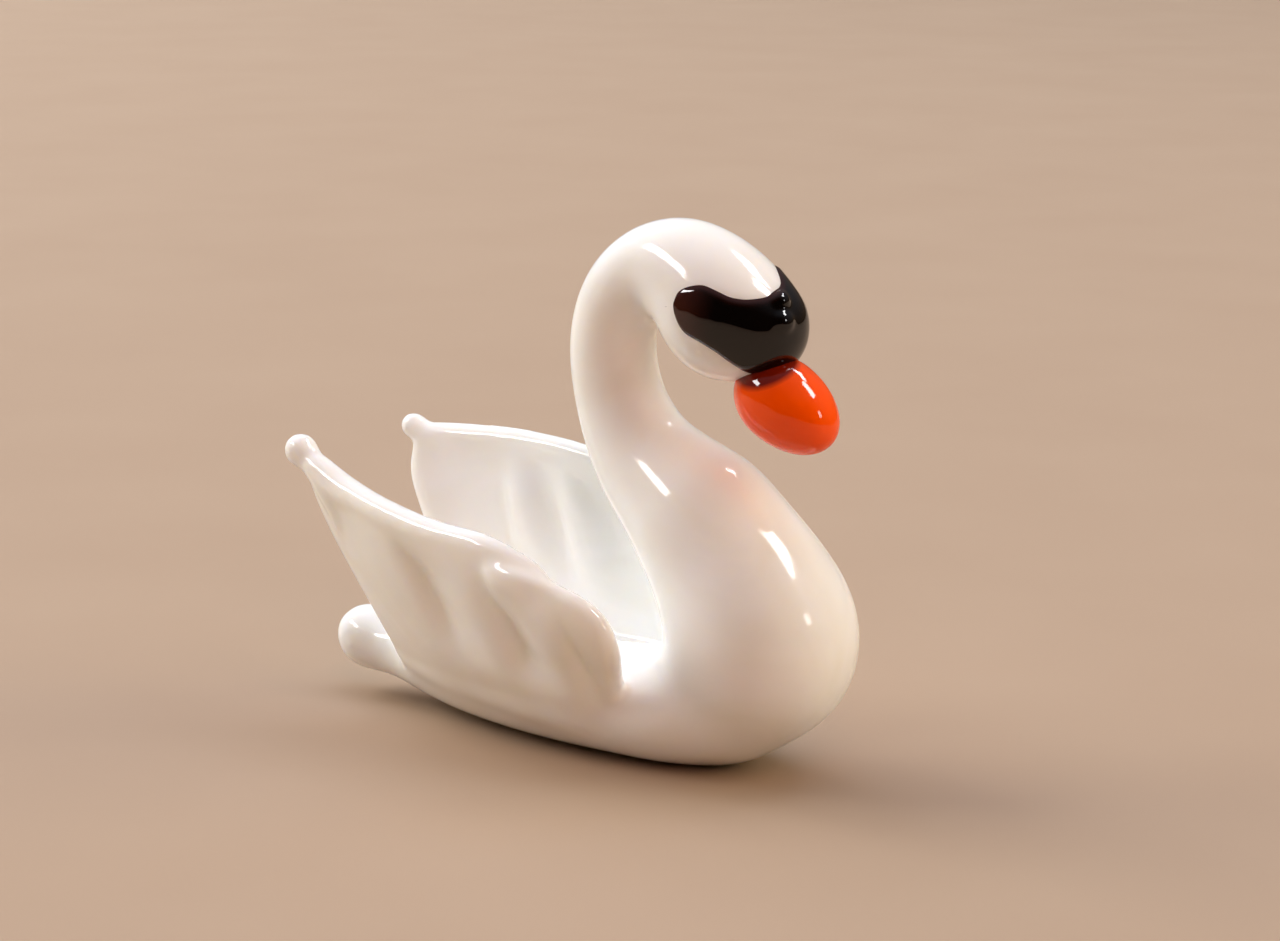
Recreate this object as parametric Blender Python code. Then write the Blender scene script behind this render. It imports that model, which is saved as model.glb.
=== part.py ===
"""A small lampworked glass swan: an opal-white gather drawn into neck, wings and tail, a black mask, an orange beak.

The swan faces +X, its left is +Y, and it stands on a flat foot at Z = 0 with the origin on the foot. The file is in
metres. The free form is drawn on a swan 24.5 units tall, so one drawn unit is HEIGHT / 24.5.
"""
import math

import bpy
import bmesh
from mathutils import Matrix, Vector

# Driving sizes in metres, and one drawn unit.
HEIGHT = 0.0245
WING_THICKNESS = 0.00115
MASK_DEPTH = 0.0006
MASK_PROUD = 0.0001
GLASS_GAP = 0.00006
UNIT = HEIGHT / 24.5

# The side of the block that presses the underside flat at Z = 0.
GROUND = 2.5 * HEIGHT

# Mesh fineness.
VOXEL = 0.2 * UNIT
BODY_TRIANGLES = 6500
EGG_SEGMENTS = 28
EGG_RINGS = 16

# Rows of x, z, half width and half height: the belly from the tail's bead to the breast. It reaches a little below
# Z = 0, where it is pressed flat.
BELLY = [
    (-16.8, 2.55, 1.7, 1.7),
    (-15.2, 2.35, 1.5, 1.45),
    (-13.6, 2.2, 1.8, 1.55),
    (-12.0, 2.1, 2.4, 1.75),
    (-9.0, 2.0, 3.3, 2.0),
    (-5.0, 2.05, 4.0, 2.25),
    (-1.0, 2.2, 4.3, 2.4),
    (2.0, 2.6, 4.3, 2.8),
    (4.2, 3.4, 3.9, 3.3),
]

# Rows of x, z and radius: up the breast, up the neck and over the crown, and down the head.
BREAST = [(3.2, 3.0, 3.2), (5.1, 4.8, 4.0), (5.75, 6.2, 4.4), (5.0, 8.0, 4.05)]
NECK = [(4.1, 9.3, 3.75), (2.7, 11.0, 3.4), (1.3, 12.1, 2.95), (-0.5, 13.6, 2.45), (-1.8, 15.8, 2.1)]
CROWN = [(-2.3, 18.1, 2.0), (-2.1, 19.9, 1.95), (-1.25, 21.3, 2.0), (0.0, 22.2, 2.05)]
HEAD = [(1.5, 22.2, 2.4), (2.8, 21.5, 2.75), (3.75, 20.6, 3.0), (4.5, 20.3, 2.75), (5.25, 20.1, 2.4)]

# The beak is an egg: x and z of its two ends, its radius, and how far along it is widest.
BEAK_ROOT = (4.71, 18.18)
BEAK_TIP = (9.22, 15.44)
BEAK_RADIUS = 1.88
BEAK_WIDEST = 0.44

# The mask lies on the head round this centre of x and z. Its rows are the azimuth round the head from the beak, with
# the swan's left positive, and the lowest and highest elevation of the black glass there, in degrees. It was laid on
# by hand, and climbs higher over the left brow.
HEAD_CENTRE = (4.2, 20.5)
MASK = [
    (-116, 13, 15),
    (-113, 0, 27),
    (-104, -12, 34),
    (-90, -19, 38),
    (-75, -28, 35),
    (-60, -39, 30),
    (-42, -48, 28),
    (-20, -48, 30),
    (0, -47, 38),
    (20, -46, 50),
    (42, -42, 55),
    (60, -31, 50),
    (75, -20, 43),
    (90, -12, 38),
    (104, -8, 32),
    (113, 1, 25),
    (116, 13, 16),
]
MASK_STEPS = 70
MASK_INNER = 0.5
MASK_OUTER = 6.0
HEAD_RADIUS = 3.0

# Each wing's four edges in x, y and z for the left wing, with y mirrored for the right. The wings were pulled by
# hand and differ: the right one is lower and more splayed.
LEFT_RIM = [
    (2.2, 3.65, 4.2),
    (1.0, 4.4, 6.3),
    (0.0, 4.8, 8.4),
    (-1.8, 4.8, 10.0),
    (-4.4, 4.9, 11.2),
    (-7.5, 4.8, 11.8),
    (-11.0, 4.85, 12.0),
    (-14.5, 4.6, 11.9),
    (-16.4, 4.2, 11.75),
]
RIGHT_RIM = [
    (0.3, 3.75, 3.2),
    (0.75, 4.4, 4.7),
    (1.15, 4.85, 6.1),
    (0.85, 5.15, 7.25),
    (-0.15, 5.35, 8.0),
    (-1.7, 5.5, 8.45),
    (-3.2, 5.8, 9.3),
    (-5.2, 5.95, 9.95),
    (-8.2, 5.75, 10.1),
    (-11.5, 5.2, 10.5),
    (-14.2, 4.5, 11.0),
    (-16.2, 4.2, 11.75),
]
LEFT_REAR = [(-12.4, 1.7, 2.2), (-13.5, 2.8, 5.0), (-15.4, 3.35, 8.2), (-16.4, 3.7, 10.2), (-16.4, 4.2, 11.75)]
RIGHT_REAR = [(-12.4, 1.7, 2.2), (-13.2, 2.9, 5.0), (-15.0, 3.45, 8.2), (-15.9, 3.8, 10.2), (-16.2, 4.2, 11.75)]
WING_ROOT = [
    (-0.4, 3.2, 1.9),
    (-1.7, 3.4, 1.95),
    (-3.7, 3.4, 1.9),
    (-6.0, 3.1, 1.9),
    (-9.0, 2.6, 1.9),
    (-11.0, 2.1, 2.0),
    (-12.4, 1.7, 2.2),
]
WING_BULGE = 0.9

# The beads of glass that fuse a wing's root to the body: how far up the wing, and their radius at the breast and tail.
ROOT_HEIGHT = 0.1
ROOT_FRONT = 1.0
ROOT_REAR = 0.7

# The hollows pressed into each wing: x and how much they lean at HOLLOW_HEIGHT, their steep side's and their gentle
# side's half widths, and their depth. They fade out below the rim's roll, given as a share of the way up the wing.
LEFT_HOLLOWS = [(-10.2, 0.3, 0.7, 1.1, 0.6), (-7.2, 0.3, 0.7, 1.3, 0.6), (-2.5, 0.3, 0.8, 1.4, 0.5)]
RIGHT_HOLLOWS = [(-8.8, 0.6, 0.75, 1.6, 0.75), (-4.1, 0.25, 0.75, 1.5, 0.85), (-0.3, 0.15, 0.75, 0.8, 0.5)]
HOLLOW_HEIGHT = 8.0
RIM_ROLL = 0.95

# How much thicker the rim's roll grows towards the tip.
RIM_BEAD = 0.3

# The front of the right wing swells out in a second lobe under the fold: x and z of the fold's rear end, its slope, and
# how far the lobe swells. The left wing has one lobe only.
LEFT_LOBE = (-5.2, 9.5, -0.24, 0.0)
RIGHT_LOBE = (-5.2, 9.5, -0.24, 0.5)

# Drawn-out wing tips with their beads, and the fold in the right wing's rim, in rows of x, y, z and radius.
LEFT_TIP = [(-15.6, 4.5, 11.3, 0.62), (-16.5, 4.2, 11.9, 0.6), (-17.1, 4.0, 12.25, 0.66)]
RIGHT_TIP = [
    (-12.4, 4.95, 10.85, 0.6),
    (-14.1, 4.6, 10.85, 0.68),
    (-15.5, 4.3, 11.3, 0.7),
    (-16.6, 4.1, 11.95, 0.62),
    (-17.4, 4.0, 12.45, 0.82),
]
RIGHT_HEEL = [(-14.5, 4.1, 9.3, 0.62), (-14.9, 4.2, 10.1, 0.66), (-15.5, 4.25, 11.0, 0.68)]
RIGHT_FOLD = [(-4.7, 6.15, 9.35, 0.3), (-3.9, 6.4, 9.1, 0.42), (-2.7, 6.3, 8.85, 0.5), (-1.2, 5.95, 8.4, 0.5)]


def smooth_row(rows, share):
    """The row at a share from 0 to 1 of the way along a list of rows, on a smooth curve through them all."""
    place = min(max(share, 0.0), 1.0) * (len(rows) - 1)
    i = min(int(place), len(rows) - 2)
    t = place - i
    before = rows[max(i - 1, 0)]
    after = rows[min(i + 2, len(rows) - 1)]
    return [
        0.5 * (2 * q + (r - p) * t + (2 * p - 5 * q + 4 * r - s) * t * t + (3 * q - p - 3 * r + s) * t ** 3)
        for p, q, r, s in zip(before, rows[i], rows[i + 1], after)
    ]


def add_beads(bm, rows, count):
    """Overlapping balls along rows of x, y, z, half width and half height, in drawn units."""
    for i in range(count):
        x, y, z, wide, high = smooth_row(rows, i / (count - 1))
        place = Matrix.Scale(UNIT, 4) @ Matrix.Translation((x, y, z)) @ Matrix.Diagonal((high, wide, high, 1.0))
        bmesh.ops.create_icosphere(bm, subdivisions=3, radius=1.0, matrix=place)


def round_rows(rows):
    """Rows of x, y, z and radius, made ready for add_beads."""
    return [(x, y, z, radius, radius) for x, y, z, radius in rows]


def ramp(share):
    """Goes smoothly from 0 to 1 as share does, and stays there outside."""
    share = min(1.0, max(0.0, share))
    return share * share * (3 - 2 * share)


def wing_point(rim, rear, hollows, lobe, u, v):
    """A point in the middle of a wing's glass: u runs from the breast to the tip, v from the root to the rim."""
    root = Vector(smooth_row(WING_ROOT, u))
    top = Vector(smooth_row(rim, u))
    back = Vector(smooth_row(rear, v))
    straight_back = Vector(rear[0]).lerp(Vector(rim[-1]), v)
    point = root.lerp(top, v) + (back - straight_back) * u
    point.y += WING_BULGE * math.sin(math.pi * v) * math.sin(math.pi * u)
    fade = ramp((v - 0.22) / 0.33) * ramp((RIM_ROLL - v) / 0.3)
    for x, lean, steep, gentle, depth in hollows:
        aside = point.x - x - lean * (HOLLOW_HEIGHT - point.z)
        width = steep if aside < 0 else gentle
        point.y -= depth * fade * math.exp(-((aside / width) ** 2))
    x, z, slope, swell = lobe
    below = z + slope * (point.x - x) - point.z
    point.y += swell * ramp((point.x - x) / 1.4) * ramp((below + 0.15) / 0.4) * ramp((4.0 - below) / 3.0)
    return point


def add_wing(bm, rim, rear, hollows, lobe, extras, side):
    """One cupped, hollowed wing with rounded edges. side is 1 for the left wing and -1 for the right."""
    wing = bmesh.new()
    bmesh.ops.create_grid(wing, x_segments=90, y_segments=36, size=1.0)
    for vert in wing.verts:
        vert.co = wing_point(rim, rear, hollows, lobe, (vert.co.x + 1) / 2, (vert.co.y + 1) / 2) * UNIT
    wing.normal_update()
    for vert in wing.verts:
        vert.co += vert.normal * WING_THICKNESS / 2
    bmesh.ops.solidify(wing, geom=wing.faces[:], thickness=WING_THICKNESS)
    edge = WING_THICKNESS / UNIT / 2
    root_rows = [
        (*wing_point(rim, rear, hollows, lobe, i / 30, ROOT_HEIGHT), ROOT_FRONT + (ROOT_REAR - ROOT_FRONT) * i / 30)
        for i in range(31)
    ]
    rim_rows = [
        (*wing_point(rim, rear, hollows, lobe, i / 60, 1.0), edge * (0.92 + RIM_BEAD * ramp(i / 40 - 0.4)))
        for i in range(61)
    ]
    rear_rows = [(*wing_point(rim, rear, hollows, lobe, 1.0, i / 20), edge) for i in range(21)]
    front_rows = [(*wing_point(rim, rear, hollows, lobe, 0.0, i / 10), edge) for i in range(11)]
    add_beads(wing, round_rows(rim_rows), 120)
    add_beads(wing, round_rows(rear_rows), 60)
    add_beads(wing, round_rows(front_rows), 30)
    add_beads(wing, round_rows(root_rows), 60)
    for rows in extras:
        add_beads(wing, round_rows(rows), 30)
    bmesh.ops.scale(wing, vec=(1, side, 1), verts=wing.verts)
    bmesh.ops.recalc_face_normals(wing, faces=wing.faces)
    passing = bpy.data.meshes.new("passing")
    wing.to_mesh(passing)
    wing.free()
    bm.from_mesh(passing)
    bpy.data.meshes.remove(passing)


def add_egg(bm, grow):
    """The beak's egg, with every surface moved out by grow metres."""
    root = Vector((BEAK_ROOT[0], 0, BEAK_ROOT[1])) * UNIT
    tip = Vector((BEAK_TIP[0], 0, BEAK_TIP[1])) * UNIT
    along = (tip - root).normalized()
    length = (tip - root).length
    middle = root + along * length * BEAK_WIDEST
    radius = BEAK_RADIUS * UNIT + grow
    turn = Vector((0, 0, 1)).rotation_difference(along).to_matrix()
    made = bmesh.ops.create_uvsphere(bm, u_segments=EGG_SEGMENTS, v_segments=EGG_RINGS, radius=1.0)["verts"]
    for vert in made:
        reach = length * (1 - BEAK_WIDEST if vert.co.z > 0 else BEAK_WIDEST) + grow
        vert.co = middle + turn @ Vector((vert.co.x * radius, vert.co.y * radius, vert.co.z * reach))


def add_mask_wedge(bm, grow):
    """A fan-shaped wedge round the head's centre that takes in the mask, grown by grow metres at the skin."""
    centre = Vector((HEAD_CENTRE[0], 0, HEAD_CENTRE[1])) * UNIT
    spare = math.degrees(grow / (HEAD_RADIUS * UNIT))
    rings = []
    for i in range(MASK_STEPS + 1):
        azimuth, low, high = smooth_row(MASK, i / MASK_STEPS)
        azimuth += spare * (2 * i / MASK_STEPS - 1)
        ring = []
        for reach, elevation in ((MASK_INNER, low), (MASK_INNER, high), (MASK_OUTER, high), (MASK_OUTER, low)):
            turn = math.radians(azimuth)
            tilt = math.radians(elevation + (spare if elevation == high else -spare))
            aim = Vector((math.cos(turn) * math.cos(tilt), math.sin(turn) * math.cos(tilt), math.sin(tilt)))
            ring.append(bm.verts.new(centre + aim * reach * UNIT))
        rings.append(ring)
    for first, second in zip(rings, rings[1:]):
        for k in range(4):
            bm.faces.new((first[k - 1], first[k], second[k], second[k - 1]))
    bm.faces.new(rings[0])
    bm.faces.new(rings[-1][::-1])


def new_object(name, bm):
    """Makes an object of a bmesh."""
    mesh = bpy.data.meshes.new(name)
    bm.normal_update()
    bmesh.ops.recalc_face_normals(bm, faces=bm.faces)
    bm.to_mesh(mesh)
    bm.free()
    obj = bpy.data.objects.new(name, mesh)
    bpy.context.scene.collection.objects.link(obj)
    return obj


def melt(obj, rounds):
    """Fuses an object's overlapping shapes into one skin, and lets the glass run smooth."""
    fuse = obj.modifiers.new("fuse", "REMESH")
    fuse.mode = "VOXEL"
    fuse.voxel_size = VOXEL
    run = obj.modifiers.new("run", "SMOOTH")
    run.factor = 0.5
    run.iterations = rounds


def take(obj):
    """Removes an object and gives back its finished shape as a bmesh."""
    bpy.context.view_layer.update()
    bm = bmesh.new()
    bm.from_object(obj, bpy.context.evaluated_depsgraph_get())
    mesh = obj.data
    bpy.data.objects.remove(obj)
    bpy.data.meshes.remove(mesh)
    return bm


def boolean(obj, other, operation):
    """Adds a Boolean with another object, which becomes a hidden cutter."""
    step = obj.modifiers.new(other.name, "BOOLEAN")
    step.operation = operation
    step.solver = "EXACT"
    step.object = other
    other.hide_render = True
    other.display_type = "WIRE"


def moved_out(name, bm, distance):
    """A copy of a closed shape with its skin moved out along its normals by a distance in metres."""
    copy = bm.copy()
    copy.normal_update()
    for vert, normal in [(vert, vert.normal.copy()) for vert in copy.verts]:
        vert.co += normal * distance
    return new_object(name, copy)


def mask_shell(name, skin, proud, depth, grow):
    """The mask's glass: the head's skin, proud above it and to a depth below it, inside the mask's outline."""
    shell = moved_out(name, skin, proud)
    wedge = bmesh.new()
    add_mask_wedge(wedge, grow)
    boolean(shell, new_object(name + "_wedge", wedge), "INTERSECT")
    boolean(shell, moved_out(name + "_core", skin, -depth), "DIFFERENCE")
    return shell


def glass(obj, name, colour, roughness):
    """Gives an object its colour of glass."""
    material = bpy.data.materials.new(name)
    material.use_nodes = True
    shader = material.node_tree.nodes["Principled BSDF"]
    shader.inputs["Base Color"].default_value = (*colour, 1.0)
    shader.inputs["Roughness"].default_value = roughness
    shader.inputs["IOR"].default_value = 1.5
    obj.data.materials.append(material)


def main():
    for obj in list(bpy.data.objects):
        bpy.data.objects.remove(obj)

    # The belly, neck and head run together first, so that their joins are soft; the wings join more sharply.
    bm = bmesh.new()
    add_beads(bm, [(x, 0.0, z, wide, high) for x, z, wide, high in BELLY], 60)
    add_beads(bm, [(x, 0.0, z, radius, radius) for x, z, radius in BREAST + NECK + CROWN + HEAD], 90)
    core = new_object("core", bm)
    melt(core, 30)
    bm = take(core)
    add_wing(bm, LEFT_RIM, LEFT_REAR, LEFT_HOLLOWS, LEFT_LOBE, [LEFT_TIP], 1)
    add_wing(bm, RIGHT_RIM, RIGHT_REAR, RIGHT_HOLLOWS, RIGHT_LOBE, [RIGHT_TIP, RIGHT_HEEL, RIGHT_FOLD], -1)
    whole = new_object("whole", bm)
    melt(whole, 10)
    fine = take(whole)
    count = sum(len(face.verts) - 2 for face in fine.faces)
    whole = new_object("whole", fine)
    coarse = whole.modifiers.new("coarse", "DECIMATE")
    coarse.ratio = BODY_TRIANGLES / count
    skin = take(whole)

    beak_bm = bmesh.new()
    add_egg(beak_bm, 0.0)
    beak = new_object("beak", beak_bm)
    socket_bm = bmesh.new()
    add_egg(socket_bm, GLASS_GAP)
    socket = new_object("beak_socket", socket_bm)

    face_mask = mask_shell("face_mask", skin, MASK_PROUD, MASK_DEPTH, 0.0)
    boolean(face_mask, socket, "DIFFERENCE")
    recess = mask_shell("mask_recess", skin, MASK_DEPTH, MASK_DEPTH + GLASS_GAP, GLASS_GAP)

    swan_body = new_object("swan_body", skin)
    boolean(swan_body, recess, "DIFFERENCE")
    boolean(swan_body, socket, "DIFFERENCE")
    below = bmesh.new()
    bmesh.ops.create_cube(below, size=GROUND, matrix=Matrix.Translation((0, 0, -GROUND / 2)))
    boolean(swan_body, new_object("ground", below), "DIFFERENCE")

    for obj in (swan_body, face_mask, beak):
        for face in obj.data.polygons:
            face.use_smooth = True
    glass(swan_body, "opal_white_glass", (0.86, 0.84, 0.8), 0.12)
    glass(face_mask, "black_glass", (0.008, 0.006, 0.006), 0.06)
    glass(beak, "orange_glass", (0.78, 0.08, 0.008), 0.1)


main()
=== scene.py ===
"""A small lampworked glass swan: an opal-white body with pulled wings, a black mask and an orange beak."""
import math

import bmesh
import bpy
from mathutils import Matrix, Vector
from mathutils.bvhtree import BVHTree


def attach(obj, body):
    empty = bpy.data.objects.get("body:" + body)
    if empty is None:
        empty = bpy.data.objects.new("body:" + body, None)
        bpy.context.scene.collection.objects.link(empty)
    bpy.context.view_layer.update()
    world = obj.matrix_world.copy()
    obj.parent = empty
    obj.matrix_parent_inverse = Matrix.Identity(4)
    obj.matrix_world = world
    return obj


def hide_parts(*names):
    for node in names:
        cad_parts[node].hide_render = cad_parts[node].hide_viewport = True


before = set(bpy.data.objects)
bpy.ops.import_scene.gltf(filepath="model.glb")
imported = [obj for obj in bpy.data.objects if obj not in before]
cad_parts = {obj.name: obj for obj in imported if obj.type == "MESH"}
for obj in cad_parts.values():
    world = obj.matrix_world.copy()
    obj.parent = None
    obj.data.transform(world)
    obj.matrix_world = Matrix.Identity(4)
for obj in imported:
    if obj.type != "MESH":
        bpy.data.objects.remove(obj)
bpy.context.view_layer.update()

# The body: one gather of opal-white soda-lime glass, worked over a torch. The neck and the tail's bead were
# drawn out of it, and each wing was squeezed flat, cupped, pressed with hollows and pulled to a beaded tip.
# The flame left it polished all over.

# The free form is drawn on a swan 24.5 units tall, and UNIT turns drawn units into metres.
HEIGHT = 0.0245
DRAWN_HEIGHT = 24.5
UNIT = HEIGHT / DRAWN_HEIGHT
WING_THICKNESS = 0.00115

# Rows of x, z, half width and half height: the belly from the tail's bead to the breast.
BELLY = [
    (-16.8, 2.55, 1.7, 1.7),
    (-15.2, 2.35, 1.5, 1.45),
    (-13.6, 2.2, 1.8, 1.55),
    (-12.0, 2.1, 2.4, 1.75),
    (-9.0, 2.0, 3.3, 2.0),
    (-5.0, 2.05, 4.0, 2.25),
    (-1.0, 2.2, 4.3, 2.4),
    (2.0, 2.6, 4.3, 2.8),
    (4.2, 3.4, 3.9, 3.3),
]

# Rows of x, z and radius: up the breast, up the neck and over the crown, and down the head.
BREAST = [(3.2, 3.0, 3.2), (5.1, 4.8, 4.0), (5.75, 6.2, 4.4), (5.0, 8.0, 4.05)]
NECK = [(4.1, 9.3, 3.75), (2.7, 11.0, 3.4), (1.3, 12.1, 2.95), (-0.5, 13.6, 2.45), (-1.8, 15.8, 2.1)]
CROWN = [(-2.3, 18.1, 2.0), (-2.1, 19.9, 1.95), (-1.25, 21.3, 2.0), (0.0, 22.2, 2.05)]
HEAD = [(1.5, 22.2, 2.4), (2.8, 21.5, 2.75), (3.75, 20.6, 3.0), (4.5, 20.3, 2.75), (5.25, 20.1, 2.4)]

# Each wing's four edges in x, y and z for the left wing, with y mirrored for the right.
LEFT_RIM = [
    (2.2, 3.65, 4.2),
    (1.0, 4.4, 6.3),
    (0.0, 4.8, 8.4),
    (-1.8, 4.8, 10.0),
    (-4.4, 4.9, 11.2),
    (-7.5, 4.8, 11.8),
    (-11.0, 4.85, 12.0),
    (-14.5, 4.6, 11.9),
    (-16.4, 4.2, 11.75),
]
RIGHT_RIM = [
    (0.3, 3.75, 3.2),
    (0.75, 4.4, 4.7),
    (1.15, 4.85, 6.1),
    (0.85, 5.15, 7.25),
    (-0.15, 5.35, 8.0),
    (-1.7, 5.5, 8.45),
    (-3.2, 5.8, 9.3),
    (-5.2, 5.95, 9.95),
    (-8.2, 5.75, 10.1),
    (-11.5, 5.2, 10.5),
    (-14.2, 4.5, 11.0),
    (-16.2, 4.2, 11.75),
]
LEFT_REAR = [
    (-12.4, 1.7, 2.2),
    (-13.5, 2.8, 5.0),
    (-15.4, 3.35, 8.2),
    (-16.4, 3.7, 10.2),
    (-16.4, 4.2, 11.75),
]
RIGHT_REAR = [
    (-12.4, 1.7, 2.2),
    (-13.2, 2.9, 5.0),
    (-15.0, 3.45, 8.2),
    (-15.9, 3.8, 10.2),
    (-16.2, 4.2, 11.75),
]
WING_ROOT = [
    (-0.4, 3.2, 1.9),
    (-1.7, 3.4, 1.95),
    (-3.7, 3.4, 1.9),
    (-6.0, 3.1, 1.9),
    (-9.0, 2.6, 1.9),
    (-11.0, 2.1, 2.0),
    (-12.4, 1.7, 2.2),
]

# How far the wings are cupped, and the half thickness of their roots from the front to the rear, which lie a
# tenth of the way up.
WING_BULGE = 0.9
ROOT_FRONT = 1.0
ROOT_REAR = 0.7
ROOT_HEIGHT = 0.1

# The hollows pressed into each wing: x and how much they lean at HOLLOW_HEIGHT, the half widths of their
# steep and of their gentle side, and their depth.
LEFT_HOLLOWS = [(-10.2, 0.3, 0.7, 1.1, 0.6), (-7.2, 0.3, 0.7, 1.3, 0.6), (-2.5, 0.3, 0.8, 1.4, 0.5)]
RIGHT_HOLLOWS = [(-8.8, 0.6, 0.75, 1.6, 0.75), (-4.1, 0.25, 0.75, 1.5, 0.85), (-0.3, 0.15, 0.75, 0.8, 0.5)]
HOLLOW_HEIGHT = 8.0

# As shares of the way up a wing: where its hollows start and how soon they reach their depth, and where they
# end under the rim's roll and how soon they fade there.
HOLLOW_START = 0.22
HOLLOW_GROWS = 0.33
HOLLOW_END = 0.95
HOLLOW_FADES = 0.3

# The rim's roll at the front, as a share of the wing's half thickness, and how much it has grown at the tip.
# It stays even for the first share of the way there, and grows over the second.
RIM_FRONT = 0.92
RIM_GROWTH = 0.3
RIM_EVEN = 4 / 15
RIM_GROWS = 2 / 3

# The front of the right wing swells out in a second lobe under the fold: x and z of the fold's rear end, its
# slope, and how far the lobe swells. The left wing has one lobe only.
LEFT_LOBE = (-5.2, 9.5, -0.24, 0.0)
RIGHT_LOBE = (-5.2, 9.5, -0.24, 0.5)

# How soon the lobe swells towards the front, how far over the fold it starts and how soon it swells under it,
# and how far under the fold it ends and how soon it fades there.
LOBE_GROWS = 1.4
LOBE_OVER = 0.15
LOBE_STEP = 0.4
LOBE_DEEP = 4.0
LOBE_FADES = 3.0

# Drawn-out wing tips with their beads, the heel under the right one, and the fold in the right wing's rim, in
# rows of x, y, z and radius.
LEFT_TIP = [(-15.6, 4.5, 11.3, 0.62), (-16.5, 4.2, 11.9, 0.6), (-17.1, 4.0, 12.25, 0.66)]
RIGHT_TIP = [
    (-12.4, 5.0, 10.55, 0.6),
    (-14.1, 4.6, 10.85, 0.68),
    (-15.5, 4.3, 11.3, 0.7),
    (-16.6, 4.1, 11.95, 0.62),
    (-17.4, 4.0, 12.45, 0.82),
]
RIGHT_HEEL = [(-14.5, 4.1, 9.3, 0.62), (-14.9, 4.2, 10.1, 0.66), (-15.5, 4.25, 11.0, 0.68)]
RIGHT_FOLD = [(-4.7, 6.15, 9.35, 0.3), (-3.9, 6.4, 9.1, 0.42), (-2.7, 6.3, 8.85, 0.5), (-1.2, 5.95, 8.4, 0.5)]

# How finely the glass is worked out: the skin's cells, a wing's grid, how many places along each of its edges
# are worked out, and how many balls stand along each row.
VOXEL = 0.00016
WING_GRID = (120, 48)
RIM_PLACES = 61
REAR_PLACES = 21
FRONT_PLACES = 11
ROOT_PLACES = 31
BELLY_BALLS = 90
NECK_BALLS = 140
RIM_BALLS = 120
REAR_BALLS = 60
FRONT_BALLS = 30
ROOT_BALLS = 60
TIP_BALLS = 30

# How many rounds of smoothing the glass ran in the flame: the gather alone, and then with its wings.
GATHER_RUNS = 47
WING_RUNS = 18


def shares(count):
    """Even shares from 0 to 1."""
    return [i / (count - 1) for i in range(count)]


def smooth_row(rows, share):
    """The row at a share from 0 to 1 of the way along a list of rows, on a smooth curve through them all."""
    place = min(max(share, 0.0), 1.0) * (len(rows) - 1)
    i = min(int(place), len(rows) - 2)
    t = place - i
    before = rows[max(i - 1, 0)]
    after = rows[min(i + 2, len(rows) - 1)]
    return [
        0.5 * (2 * q + (r - p) * t + (2 * p - 5 * q + 4 * r - s) * t * t + (3 * q - p - 3 * r + s) * t ** 3)
        for p, q, r, s in zip(before, rows[i], rows[i + 1], after)
    ]


ball = bmesh.new()
bmesh.ops.create_icosphere(ball, subdivisions=3, radius=1.0)
ball_mesh = bpy.data.meshes.new("ball")
ball.to_mesh(ball_mesh)
ball.free()


def add_balls(bm, rows, count):
    """Overlapping balls along rows of x, y, z, half width and half height, in drawn units."""
    for share in shares(count):
        x, y, z, wide, high = smooth_row(rows, share)
        size = Matrix.Diagonal((high, wide, high, 1.0))
        passing = ball_mesh.copy()
        passing.transform(Matrix.Scale(UNIT, 4) @ Matrix.Translation((x, y, z)) @ size)
        bm.from_mesh(passing)
        bpy.data.meshes.remove(passing)


def round_rows(rows):
    """Rows of x, y, z and radius, made ready for add_balls."""
    return [(x, y, z, radius, radius) for x, y, z, radius in rows]


def ramp(share):
    """Goes smoothly from 0 to 1 as share does, and stays there outside."""
    share = min(1.0, max(0.0, share))
    return share * share * (3 - 2 * share)


def wing_point(rim, rear, hollows, lobe, u, v):
    """A point midway through a wing's glass: u runs from breast to tip, and v from root to rim."""
    root = Vector(smooth_row(WING_ROOT, u))
    top = Vector(smooth_row(rim, u))
    # The rear edge bows away from a straight line, less and less towards the breast.
    bow = Vector(smooth_row(rear, v)) - Vector(rear[0]).lerp(Vector(rim[-1]), v)
    point = root.lerp(top, v) + bow * u
    point.y += WING_BULGE * math.sin(math.pi * v) * math.sin(math.pi * u)
    fade = ramp((v - HOLLOW_START) / HOLLOW_GROWS) * ramp((HOLLOW_END - v) / HOLLOW_FADES)
    for x, lean, steep, gentle, depth in hollows:
        aside = point.x - x - lean * (HOLLOW_HEIGHT - point.z)
        width = steep if aside < 0 else gentle
        point.y -= depth * fade * math.exp(-((aside / width) ** 2))
    x, z, slope, swell = lobe
    below = z + slope * (point.x - x) - point.z
    under = ramp((below + LOBE_OVER) / LOBE_STEP) * ramp((LOBE_DEEP - below) / LOBE_FADES)
    point.y += swell * ramp((point.x - x) / LOBE_GROWS) * under
    return point


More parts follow.
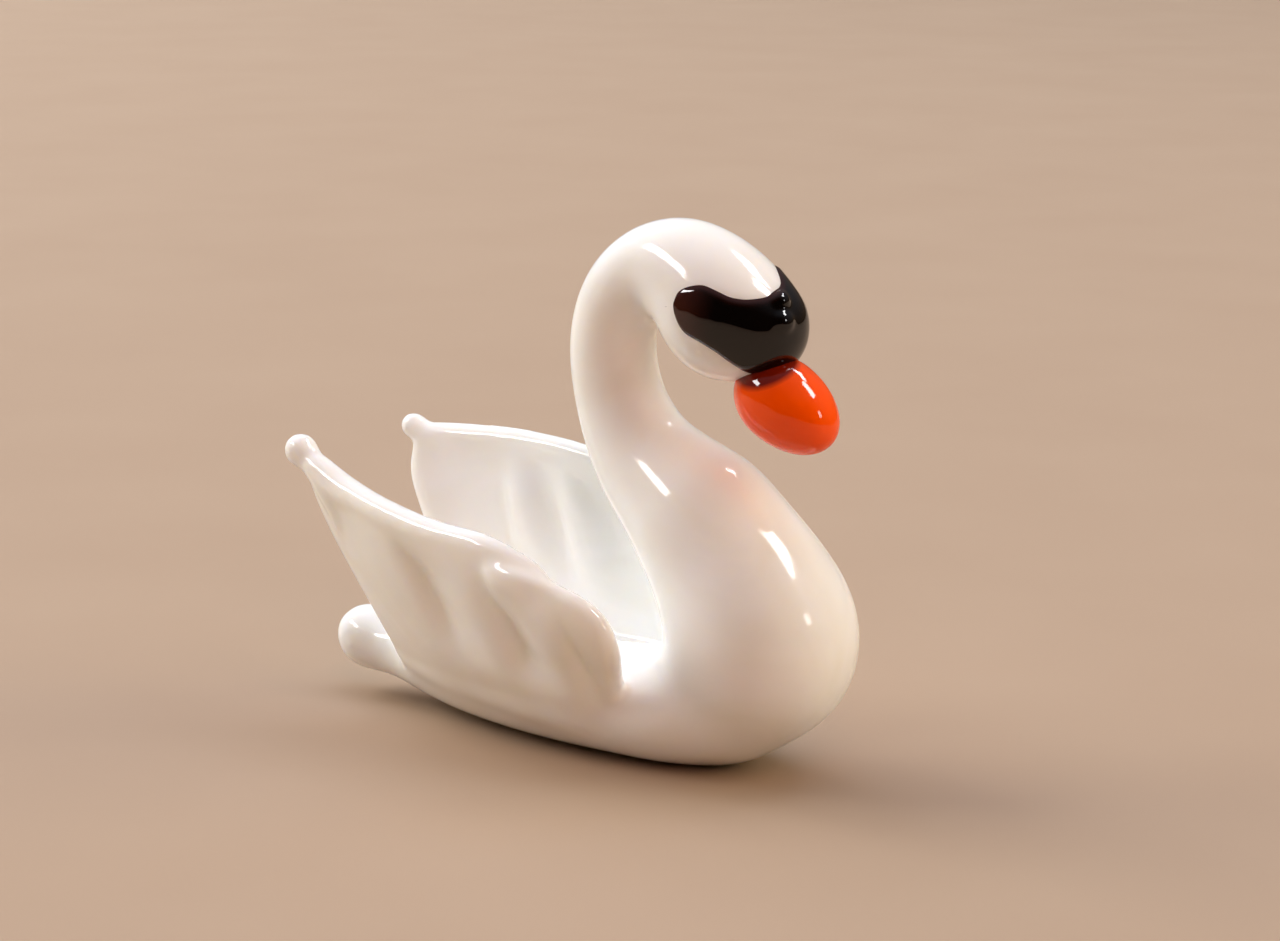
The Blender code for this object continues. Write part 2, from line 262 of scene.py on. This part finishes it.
def add_wing(bm, shape, extras, side):
    """One cupped, hollowed wing with rounded edges and extra rows of balls, mirrored where side is -1."""
    wing = bmesh.new()
    bmesh.ops.create_grid(wing, x_segments=WING_GRID[0], y_segments=WING_GRID[1], size=1.0)
    for vert in wing.verts:
        vert.co = wing_point(*shape, (vert.co.x + 1) / 2, (vert.co.y + 1) / 2) * UNIT
    wing.normal_update()
    for vert in wing.verts:
        vert.co += vert.normal * WING_THICKNESS / 2
    bmesh.ops.solidify(wing, geom=wing.faces[:], thickness=WING_THICKNESS)
    edge = WING_THICKNESS / UNIT / 2
    rim_rows = [
        (*wing_point(*shape, u, 1.0), edge * (RIM_FRONT + RIM_GROWTH * ramp((u - RIM_EVEN) / RIM_GROWS)))
        for u in shares(RIM_PLACES)
    ]
    rear_rows = [(*wing_point(*shape, 1.0, v), edge) for v in shares(REAR_PLACES)]
    front_rows = [(*wing_point(*shape, 0.0, v), edge) for v in shares(FRONT_PLACES)]
    root_rows = [
        (*wing_point(*shape, u, ROOT_HEIGHT), ROOT_FRONT + (ROOT_REAR - ROOT_FRONT) * u)
        for u in shares(ROOT_PLACES)
    ]
    add_balls(wing, round_rows(rim_rows), RIM_BALLS)
    add_balls(wing, round_rows(rear_rows), REAR_BALLS)
    add_balls(wing, round_rows(front_rows), FRONT_BALLS)
    add_balls(wing, round_rows(root_rows), ROOT_BALLS)
    for rows in extras:
        add_balls(wing, round_rows(rows), TIP_BALLS)
    bmesh.ops.scale(wing, vec=(1, side, 1), verts=wing.verts)
    bmesh.ops.recalc_face_normals(wing, faces=wing.faces)
    passing = bpy.data.meshes.new("passing")
    wing.to_mesh(passing)
    wing.free()
    bm.from_mesh(passing)
    bpy.data.meshes.remove(passing)


def new_piece(name, bm):
    """Makes a smooth-shaded object of a bmesh."""
    mesh = bpy.data.meshes.new(name)
    bm.normal_update()
    bmesh.ops.recalc_face_normals(bm, faces=bm.faces)
    bm.to_mesh(mesh)
    bm.free()
    for face in mesh.polygons:
        face.use_smooth = True
    piece = bpy.data.objects.new(name, mesh)
    bpy.context.scene.collection.objects.link(piece)
    return piece


def melted(bm, runs):
    """Fuses a bmesh's overlapping shapes into one skin and lets the glass run smooth, as a new bmesh."""
    rough = new_piece("rough", bm)
    fuse = rough.modifiers.new("fuse", "REMESH")
    fuse.mode = "VOXEL"
    fuse.voxel_size = VOXEL
    run = rough.modifiers.new("run", "SMOOTH")
    run.factor = 0.5
    run.iterations = runs
    bpy.context.view_layer.update()
    fused = bmesh.new()
    fused.from_object(rough, bpy.context.evaluated_depsgraph_get())
    mesh = rough.data
    bpy.data.objects.remove(rough)
    bpy.data.meshes.remove(mesh)
    return fused


# The belly, neck and head run together first, so that their joins are soft; the wings join more sharply.
gather = bmesh.new()
add_balls(gather, [(x, 0.0, z, wide, high) for x, z, wide, high in BELLY], BELLY_BALLS)
neck_rows = [(x, 0.0, z, radius) for x, z, radius in BREAST + NECK + CROWN + HEAD]
add_balls(gather, round_rows(neck_rows), NECK_BALLS)
gather = melted(gather, GATHER_RUNS)
left_wing = (LEFT_RIM, LEFT_REAR, LEFT_HOLLOWS, LEFT_LOBE)
add_wing(gather, left_wing, [LEFT_TIP], 1)
right_wing = (RIGHT_RIM, RIGHT_REAR, RIGHT_HOLLOWS, RIGHT_LOBE)
add_wing(gather, right_wing, [RIGHT_TIP, RIGHT_HEEL, RIGHT_FOLD], -1)
skin = melted(gather, WING_RUNS)
head_skin = BVHTree.FromBMesh(skin)

# Low down, the wings were rolled into the belly, and the underside was pressed flat on a hot plate.
ROLLED_LOW = 0.0016
ROLLED_HIGH = 0.0036
ROLLING_RUNS = 120
body = new_piece("opal_body", skin)
rolled = body.vertex_groups.new(name="rolled")
for vert in body.data.vertices:
    share = ramp((ROLLED_HIGH - vert.co.z) / (ROLLED_HIGH - ROLLED_LOW))
    rolled.add([vert.index], share, "REPLACE")
rolling = body.modifiers.new("rolling", "SMOOTH")
rolling.factor = 0.5
rolling.iterations = ROLLING_RUNS
rolling.vertex_group = "rolled"
bpy.context.view_layer.update()
finished = bpy.data.meshes.new_from_object(body.evaluated_get(bpy.context.evaluated_depsgraph_get()))
body.modifiers.clear()
body.vertex_groups.clear()
for vert in finished.vertices:
    vert.co.z = max(vert.co.z, 0.0)
body.data = finished


def linear(code):
    """A colour's linear red, green, blue and alpha from its sRGB hex code."""
    parts = [int(code[i : i + 2], 16) / 255 for i in (1, 3, 5)]
    return (*[c / 12.92 if c <= 0.04045 else ((c + 0.055) / 1.055) ** 2.4 for c in parts], 1.0)


def node(tree, kind, inputs, **properties):
    """Adds a shader node. inputs gives each socket a value, or another node's output to link it to."""
    made = tree.nodes.new(kind)
    for name, value in properties.items():
        setattr(made, name, value)
    for name, value in inputs.items():
        if isinstance(value, bpy.types.NodeSocket):
            tree.links.new(value, made.inputs[name])
        else:
            made.inputs[name].default_value = value
    return made


def new_material(name):
    """A material with its node tree and its shader."""
    material = bpy.data.materials.new(name)
    material.use_nodes = True
    return material, material.node_tree, material.node_tree.nodes["Principled BSDF"]


# Opal glass: fine crystals of fluoride in a soda-lime glass scatter the light, so it is milky, with soft
# shadows and a sharp gloss. The gather was turned as it was drawn, which left faint wisps of denser glass.
WISP_WIDTH = 0.0016
WISP_STRETCH = (0.45, 1.0, 0.7)
WISP_LEAN = (0.0, 0.6, 0.0)
RIPPLE_WIDTH = 0.0022
RIPPLE_HEIGHT = 0.00002
SCATTER_DEPTH = 0.0008
opal, tree, shader = new_material("opal_white_glass_fire_polished")
place = node(tree, "ShaderNodeTexCoord", {}).outputs["Object"]
turned = node(tree, "ShaderNodeMapping", {"Vector": place, "Scale": WISP_STRETCH, "Rotation": WISP_LEAN})
wisps = node(
    tree,
    "ShaderNodeTexNoise",
    {"Vector": turned.outputs["Vector"], "Scale": 1 / WISP_WIDTH / 2, "Detail": 2.0, "Distortion": 0.9},
)
density = node(
    tree, "ShaderNodeMapRange", {"Value": wisps.outputs["Fac"], "From Min": 0.35, "From Max": 0.68}
)
milk = node(
    tree,
    "ShaderNodeMix",
    {"Factor": density.outputs["Result"], "A": linear("#F4F2EC"), "B": linear("#FAF9F7")},
    data_type="RGBA",
)
tree.links.new(milk.outputs["Result"], shader.inputs["Base Color"])
ripple = node(tree, "ShaderNodeTexNoise", {"Vector": place, "Scale": 1 / RIPPLE_WIDTH / 2, "Detail": 1.0})
polish = node(tree, "ShaderNodeMapRange", {"Value": ripple.outputs["Fac"], "To Min": 0.07, "To Max": 0.13})
tree.links.new(polish.outputs["Result"], shader.inputs["Roughness"])
waves = node(
    tree, "ShaderNodeBump", {"Height": ripple.outputs["Fac"], "Distance": RIPPLE_HEIGHT, "Strength": 0.6}
)
tree.links.new(waves.outputs["Normal"], shader.inputs["Normal"])
shader.inputs["IOR"].default_value = 1.5
shader.inputs["Subsurface Weight"].default_value = 0.5
shader.inputs["Subsurface Radius"].default_value = (1.0, 0.9, 0.72)
shader.inputs["Subsurface Scale"].default_value = SCATTER_DEPTH
body.data.materials.append(opal)
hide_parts("swan_body")
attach(body, "root")

# The mask: a lick of black glass laid on the hot head from a thin rod and melted in until it was almost
# flush. It wraps the face from cheek to cheek, climbs higher over the left brow, and keeps two small nubs
# where the rod touched last.

# The head's centre in x and z, and its rough radius.
HEAD_CENTRE = (4.2, 20.5)
HEAD_RADIUS = 0.003

# The mask's rows: the azimuth round the head from the beak, with the swan's left positive, and the lowest and
# highest elevation of the black glass there, in degrees.
MASK = [
    (-116, 13, 15),
    (-113, 0, 27),
    (-104, -12, 34),
    (-90, -19, 38),
    (-75, -28, 35),
    (-60, -39, 30),
    (-42, -48, 28),
    (-20, -48, 30),
    (0, -47, 38),
    (20, -46, 50),
    (42, -42, 55),
    (60, -31, 50),
    (75, -20, 43),
    (90, -12, 38),
    (104, -8, 32),
    (113, 1, 25),
    (116, 13, 16),
]

# How far the mask stands over the white glass, how far its rim sinks into it, how wide its rounded edge is,
# and how thick it is.
MASK_PROUD = 0.00008
MASK_SUNK = 0.00005
MASK_EDGE = 0.0005
MASK_THICKNESS = 0.0005
MASK_GRID = (220, 70)
MASK_RUNS = 6

# The nubs: azimuth, elevation and half width in degrees, and height.
NUBS = [(-13, 21, 8, 0.00028), (-16, 3, 8, 0.00022)]

# Where the black glass is thin: this far in from its edge, and on the cheeks from this azimuth on, over these
# many degrees and to this share.
THIN_EDGE = 0.0007
THIN_AZIMUTH = 72
THIN_SPREAD = 40
THIN_CHEEK = 0.8

centre = Vector((HEAD_CENTRE[0], 0.0, HEAD_CENTRE[1])) * UNIT
lick = bmesh.new()
bmesh.ops.create_grid(lick, x_segments=MASK_GRID[0], y_segments=MASK_GRID[1], size=1.0)
thin = lick.verts.layers.float.new("thin")
for vert in lick.verts:
    azimuth, low, high = smooth_row(MASK, (vert.co.x + 1) / 2)
    across = (vert.co.y + 1) / 2
    elevation = low + (high - low) * across
    inset = min(across, 1 - across) * math.radians(high - low) * HEAD_RADIUS
    turn = math.radians(azimuth)
    tilt = math.radians(elevation)
    aim = Vector((math.cos(turn) * math.cos(tilt), math.sin(turn) * math.cos(tilt), math.sin(tilt)))
    hit, normal, index, distance = head_skin.ray_cast(centre, aim)
    rise = ramp(inset / MASK_EDGE)
    nubs = sum(
        high_up * math.exp(-(((azimuth - side) ** 2 + (elevation - up) ** 2) / wide ** 2) ** 2)
        for side, up, wide, high_up in NUBS
    )
    vert.co = hit + normal * (MASK_PROUD * rise - MASK_SUNK * (1 - rise) + nubs * rise)
    cheek = THIN_CHEEK * ramp((abs(azimuth) - THIN_AZIMUTH) / THIN_SPREAD)
    vert[thin] = max(ramp(1.0 - inset / THIN_EDGE), cheek)
inner = [vert for vert in lick.verts if not vert.is_boundary]
for run in range(MASK_RUNS):
    bmesh.ops.smooth_vert(lick, verts=inner, factor=0.5, use_axis_x=True, use_axis_y=True, use_axis_z=True)
lick.normal_update()
bmesh.ops.solidify(lick, geom=lick.faces[:], thickness=MASK_THICKNESS)
mask = new_piece("black_mask", lick)

# Black glass is so deep a violet or brown that it looks black, with a mirror-like gloss. Where it thins out
# over the white it shows as brown.
black, tree, shader = new_material("black_glass_fire_polished")
edge = node(tree, "ShaderNodeAttribute", {}, attribute_name="thin").outputs["Fac"]
depth = node(
    tree,
    "ShaderNodeMix",
    {"Factor": edge, "A": linear("#080504"), "B": linear("#3A140A")},
    data_type="RGBA",
)
tree.links.new(depth.outputs["Result"], shader.inputs["Base Color"])
shader.inputs["Roughness"].default_value = 0.03
shader.inputs["IOR"].default_value = 1.52
mask.data.materials.append(black)
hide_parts("face_mask")
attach(mask, "root")

# The beak: a gather of orange glass from another rod, touched to the face while both were soft and left to
# round itself into an egg. It is fused to the head and to the mask's lower edge.

# The beak's two ends in x and z, its radius, and the share of the way along at which it is widest.
BEAK_ROOT = (4.71, 18.18)
BEAK_TIP = (9.22, 15.44)
BEAK_RADIUS = 1.88
BEAK_WIDEST = 0.44

egg = bmesh.new()
beak_root = Vector((BEAK_ROOT[0], 0, BEAK_ROOT[1])) * UNIT
beak_tip = Vector((BEAK_TIP[0], 0, BEAK_TIP[1])) * UNIT
along = (beak_tip - beak_root).normalized()
length = (beak_tip - beak_root).length
middle = beak_root + along * length * BEAK_WIDEST
lean = Vector((0, 0, 1)).rotation_difference(along).to_matrix()
bmesh.ops.create_uvsphere(egg, u_segments=128, v_segments=96, radius=1.0)
for vert in egg.verts:
    reach = length * (1 - BEAK_WIDEST if vert.co.z > 0 else BEAK_WIDEST)
    round_part = Vector((vert.co.x * BEAK_RADIUS * UNIT, vert.co.y * BEAK_RADIUS * UNIT, vert.co.z * reach))
    vert.co = middle + lean @ round_part
beak = new_piece("orange_beak", egg)

# Orange glass gets its colour from fine crystals that form as it is reheated, so it is nearly opaque. The
# flame left small waves in its gloss. On top of the root, next to the mask, a painted shadow and a painted
# reflection of the black mask darken the orange to a dark red cap.
PAINTED_SHADE_CENTRE = (0.0062, -0.0008, 0.0190)
PAINTED_SHADE_RADIUS = 0.00155
PAINTED_SHADE_EDGE = 0.0003
WAVE_WIDTH = 0.0009
WAVE_HEIGHT = 0.00015
orange, tree, shader = new_material("orange_glass_fire_polished")
place = node(tree, "ShaderNodeTexCoord", {}).outputs["Object"]
reach = node(tree, "ShaderNodeVectorMath", {0: place, 1: PAINTED_SHADE_CENTRE}, operation="DISTANCE").outputs["Value"]
# Painted shade and painted reflection of the mask: the orange turns dark red within this distance of the
# cap's centre.
painted_shade = node(
    tree,
    "ShaderNodeMapRange",
    {"Value": reach, "From Min": PAINTED_SHADE_RADIUS + PAINTED_SHADE_EDGE / 2, "From Max": PAINTED_SHADE_RADIUS - PAINTED_SHADE_EDGE / 2},
)
orange_and_painted_shade = node(
    tree,
    "ShaderNodeMix",
    {"Factor": painted_shade.outputs["Result"], "A": linear("#FF5400"), "B": linear("#741804")},
    data_type="RGBA",
)
tree.links.new(orange_and_painted_shade.outputs["Result"], shader.inputs["Base Color"])
shader.inputs["Roughness"].default_value = 0.04
shader.inputs["IOR"].default_value = 1.45
ripple = node(tree, "ShaderNodeTexNoise", {"Vector": place, "Scale": 1 / WAVE_WIDTH / 2, "Detail": 1.0})
waves = node(
    tree, "ShaderNodeBump", {"Height": ripple.outputs["Fac"], "Distance": WAVE_HEIGHT, "Strength": 0.8}
)
tree.links.new(waves.outputs["Normal"], shader.inputs["Normal"])
shader.inputs["Subsurface Weight"].default_value = 0.1
shader.inputs["Subsurface Radius"].default_value = (1.0, 0.5, 0.1)
shader.inputs["Subsurface Scale"].default_value = SCATTER_DEPTH
beak.data.materials.append(orange)
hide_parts("beak")
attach(beak, "root")

# The floor: a plain pale board, painted matt and warm, which sends a little of its colour up into the glass.
# The swan stands loose on it.
FLOOR_SIZE = 4.0
MOTTLE_WIDTH = 0.00833
ground = bmesh.new()
bmesh.ops.create_grid(ground, x_segments=1, y_segments=1, size=FLOOR_SIZE / 2)
floor = new_piece("floor", ground)
table, tree, shader = new_material("matt_painted_board")
place = node(tree, "ShaderNodeTexCoord", {}).outputs["Object"]
paint = node(tree, "ShaderNodeTexNoise", {"Vector": place, "Scale": 1 / MOTTLE_WIDTH / 2, "Detail": 2.0})
tone = node(
    tree,
    "ShaderNodeMix",
    {"Factor": paint.outputs["Fac"], "A": linear("#A0876F"), "B": linear("#A68E76")},
    data_type="RGBA",
)
tree.links.new(tone.outputs["Result"], shader.inputs["Base Color"])
shader.inputs["Roughness"].default_value = 0.75
floor.data.materials.append(table)

# The light: small lamps that show only as highlights on the glass, wide boxes that light it softly all round
# without showing in it, and a dim room that is warm below and cool above.
SWAN_MIDDLE = Vector((-0.003, 0.0, 0.012))

# Azimuth from the -Y side towards +X, elevation, distance, width, height, power, colour, and what each adds.
LIGHTS = {
    "window": (115, 54, 0.90, 0.21, 0.27, 4.05, "#FFFFFF", "gloss"),
    "door": (-51, 37, 0.90, 0.54, 0.15, 5.40, "#FFFFFF", "gloss"),
    "pane": (93, 19, 0.90, 0.135, 0.135, 0.54, "#FFFFFF", "gloss"),
    "rear": (152, 58, 0.90, 0.27, 0.15, 2.90, "#F4F6FF", "gloss"),
    "left": (-79, 28, 0.90, 0.60, 0.60, 8.70, "#FAFAF4", "soft"),
    "left_back": (-112, 40, 0.90, 0.60, 0.60, 4.70, "#DEE8FF", "soft"),
    "right_back": (122, 24, 0.90, 0.60, 0.60, 4.40, "#FFF6D6", "soft"),
    "front_top": (54, 42, 0.90, 0.60, 0.60, 3.30, "#FFD4C0", "soft"),
    "sky": (180, 72, 1.05, 0.75, 0.75, 4.40, "#DAE6FF", "soft"),
}
for name, (azimuth, elevation, distance, width, height, power, colour, adds) in LIGHTS.items():
    turn = math.radians(azimuth)
    tilt = math.radians(elevation)
    away = Vector((math.sin(turn) * math.cos(tilt), -math.cos(turn) * math.cos(tilt), math.sin(tilt)))
    lamp = bpy.data.lights.new(name, "AREA")
    lamp.shape = "RECTANGLE"
    lamp.size = width
    lamp.size_y = height
    lamp.energy = power
    lamp.color = linear(colour)[:3]
    box = bpy.data.objects.new(name, lamp)
    box.location = SWAN_MIDDLE + away * distance
    box.rotation_mode = "QUATERNION"
    box.rotation_quaternion = (-away).to_track_quat("-Z", "Y")
    box.visible_diffuse = adds != "gloss"
    box.visible_glossy = adds != "soft"
    bpy.context.scene.collection.objects.link(box)

# The room is darkest towards DARK_SIDE, so that the highlights stand out on the swan's right side.
DARK_SIDE = (0.57, -0.82, 0.0)
ROOM_STRENGTH = 0.35
room = bpy.data.worlds.new("room")
room.use_nodes = True
tree = room.node_tree
aim = node(tree, "ShaderNodeTexCoord", {}).outputs["Generated"]
height = node(tree, "ShaderNodeSeparateXYZ", {"Vector": aim}).outputs["Z"]
lift = node(tree, "ShaderNodeMapRange", {"Value": height, "From Min": 0.0, "From Max": 0.8})
air = node(
    tree,
    "ShaderNodeMix",
    {"Factor": lift.outputs["Result"], "A": linear("#A08062"), "B": linear("#D8E0F0")},
    data_type="RGBA",
)
towards = node(tree, "ShaderNodeVectorMath", {0: aim, 1: DARK_SIDE}, operation="DOT_PRODUCT").outputs["Value"]
shade = node(tree, "ShaderNodeMapRange", {"Value": towards, "From Min": 0.1, "From Max": 0.8})
dim = node(
    tree,
    "ShaderNodeMix",
    {"Factor": shade.outputs["Result"], "A": air.outputs["Result"], "B": linear("#2A201A")},
    data_type="RGBA",
)
tree.links.new(dim.outputs["Result"], tree.nodes["Background"].inputs["Color"])
tree.nodes["Background"].inputs["Strength"].default_value = ROOM_STRENGTH
bpy.context.scene.world = room
bpy.context.scene.view_settings.view_transform = "Standard"

# The camera, at the photograph's angle: 35 degrees round from the swan's right side and 13 degrees up.
AZIMUTH = math.radians(35)
ELEVATION = math.radians(13)
LENS_PIXELS = 3285
PICTURE_WIDTH = 1280
PICTURE_HEIGHT = 941
DISTANCE = 0.150
ORIGIN_PIXEL = (655, 748)
right = Vector((math.cos(AZIMUTH), math.sin(AZIMUTH), 0.0))
level = math.cos(ELEVATION)
back = Vector((math.sin(AZIMUTH) * level, -math.cos(AZIMUTH) * level, math.sin(ELEVATION)))
up = back.cross(right)
across = (ORIGIN_PIXEL[0] - PICTURE_WIDTH / 2) / LENS_PIXELS * DISTANCE
down = (ORIGIN_PIXEL[1] - PICTURE_HEIGHT / 2) / LENS_PIXELS * DISTANCE
lens = bpy.data.cameras.new("camera")
lens.sensor_width = 36.0
lens.lens = LENS_PIXELS * lens.sensor_width / PICTURE_WIDTH
lens.clip_start = 0.005
lens.clip_end = 10.0
camera = bpy.data.objects.new("camera", lens)
camera.matrix_world = Matrix.Translation(back * DISTANCE - right * across + up * down) @ Matrix(
    (right, up, back)
).transposed().to_4x4()
bpy.context.scene.collection.objects.link(camera)
bpy.context.scene.camera = camera
